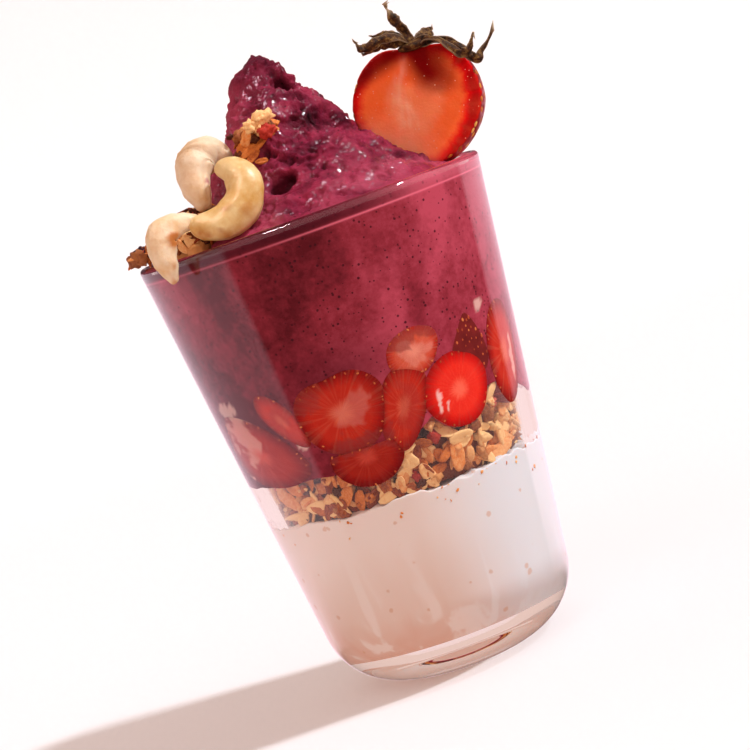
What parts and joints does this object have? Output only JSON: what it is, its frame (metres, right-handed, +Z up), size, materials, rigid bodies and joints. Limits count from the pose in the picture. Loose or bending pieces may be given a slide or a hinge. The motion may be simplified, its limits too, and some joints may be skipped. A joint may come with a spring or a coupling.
{
  "type": "layered yogurt and smoothie parfait in a glass tumbler",
  "caption": "Glass tumbler filled with yogurt, granola, strawberry slices and a peaked berry smoothie, topped with cashews and half a strawberry.",
  "frame": {"origin": "middle of the tumbler's flat base, on the surface it stands on", "axes": "+Z up along the tumbler's axis, -Y towards the viewer of the picture, +X to the viewer's right"},
  "size_m": [0.1022, 0.0878, 0.1577],
  "materials": {
    "glass": "clear, fire polished",
    "yogurt": "smooth, wet, semi-gloss",
    "granola": "dry, baked, rough",
    "strawberry": "wet cut flesh, glossy",
    "smoothie": "frozen, rough, wet sheen",
    "cashew": "waxy, semi-matte",
    "calyx": "dried leaf, matte"
  },
  "bodies": {
    "root": {"glass": "glass", "yogurt": "yogurt", "strawberry_slice_01": "strawberry", "strawberry_slice_02": "strawberry", "strawberry_slice_03": "strawberry", "strawberry_slice_04": "strawberry", "strawberry_slice_05": "strawberry", "strawberry_slice_06": "strawberry", "strawberry_slice_07": "strawberry", "strawberry_slice_08": "strawberry", "strawberry_slice_09": "strawberry", "strawberry_slice_10": "strawberry", "strawberry_slice_11": "strawberry", "strawberry_slice_12": "strawberry", "strawberry_slice_13": "strawberry", "strawberry_slice_14": "strawberry", "smoothie": "smoothie", "granola_layer": "granola", "granola_peak": "granola", "granola_heap": "granola", "granola_rim": "granola", "cashew_left": "cashew", "cashew_upright": "cashew", "cashew_front": "cashew", "strawberry_half": "strawberry", "calyx": "calyx"}
  },
  "joints": []
}
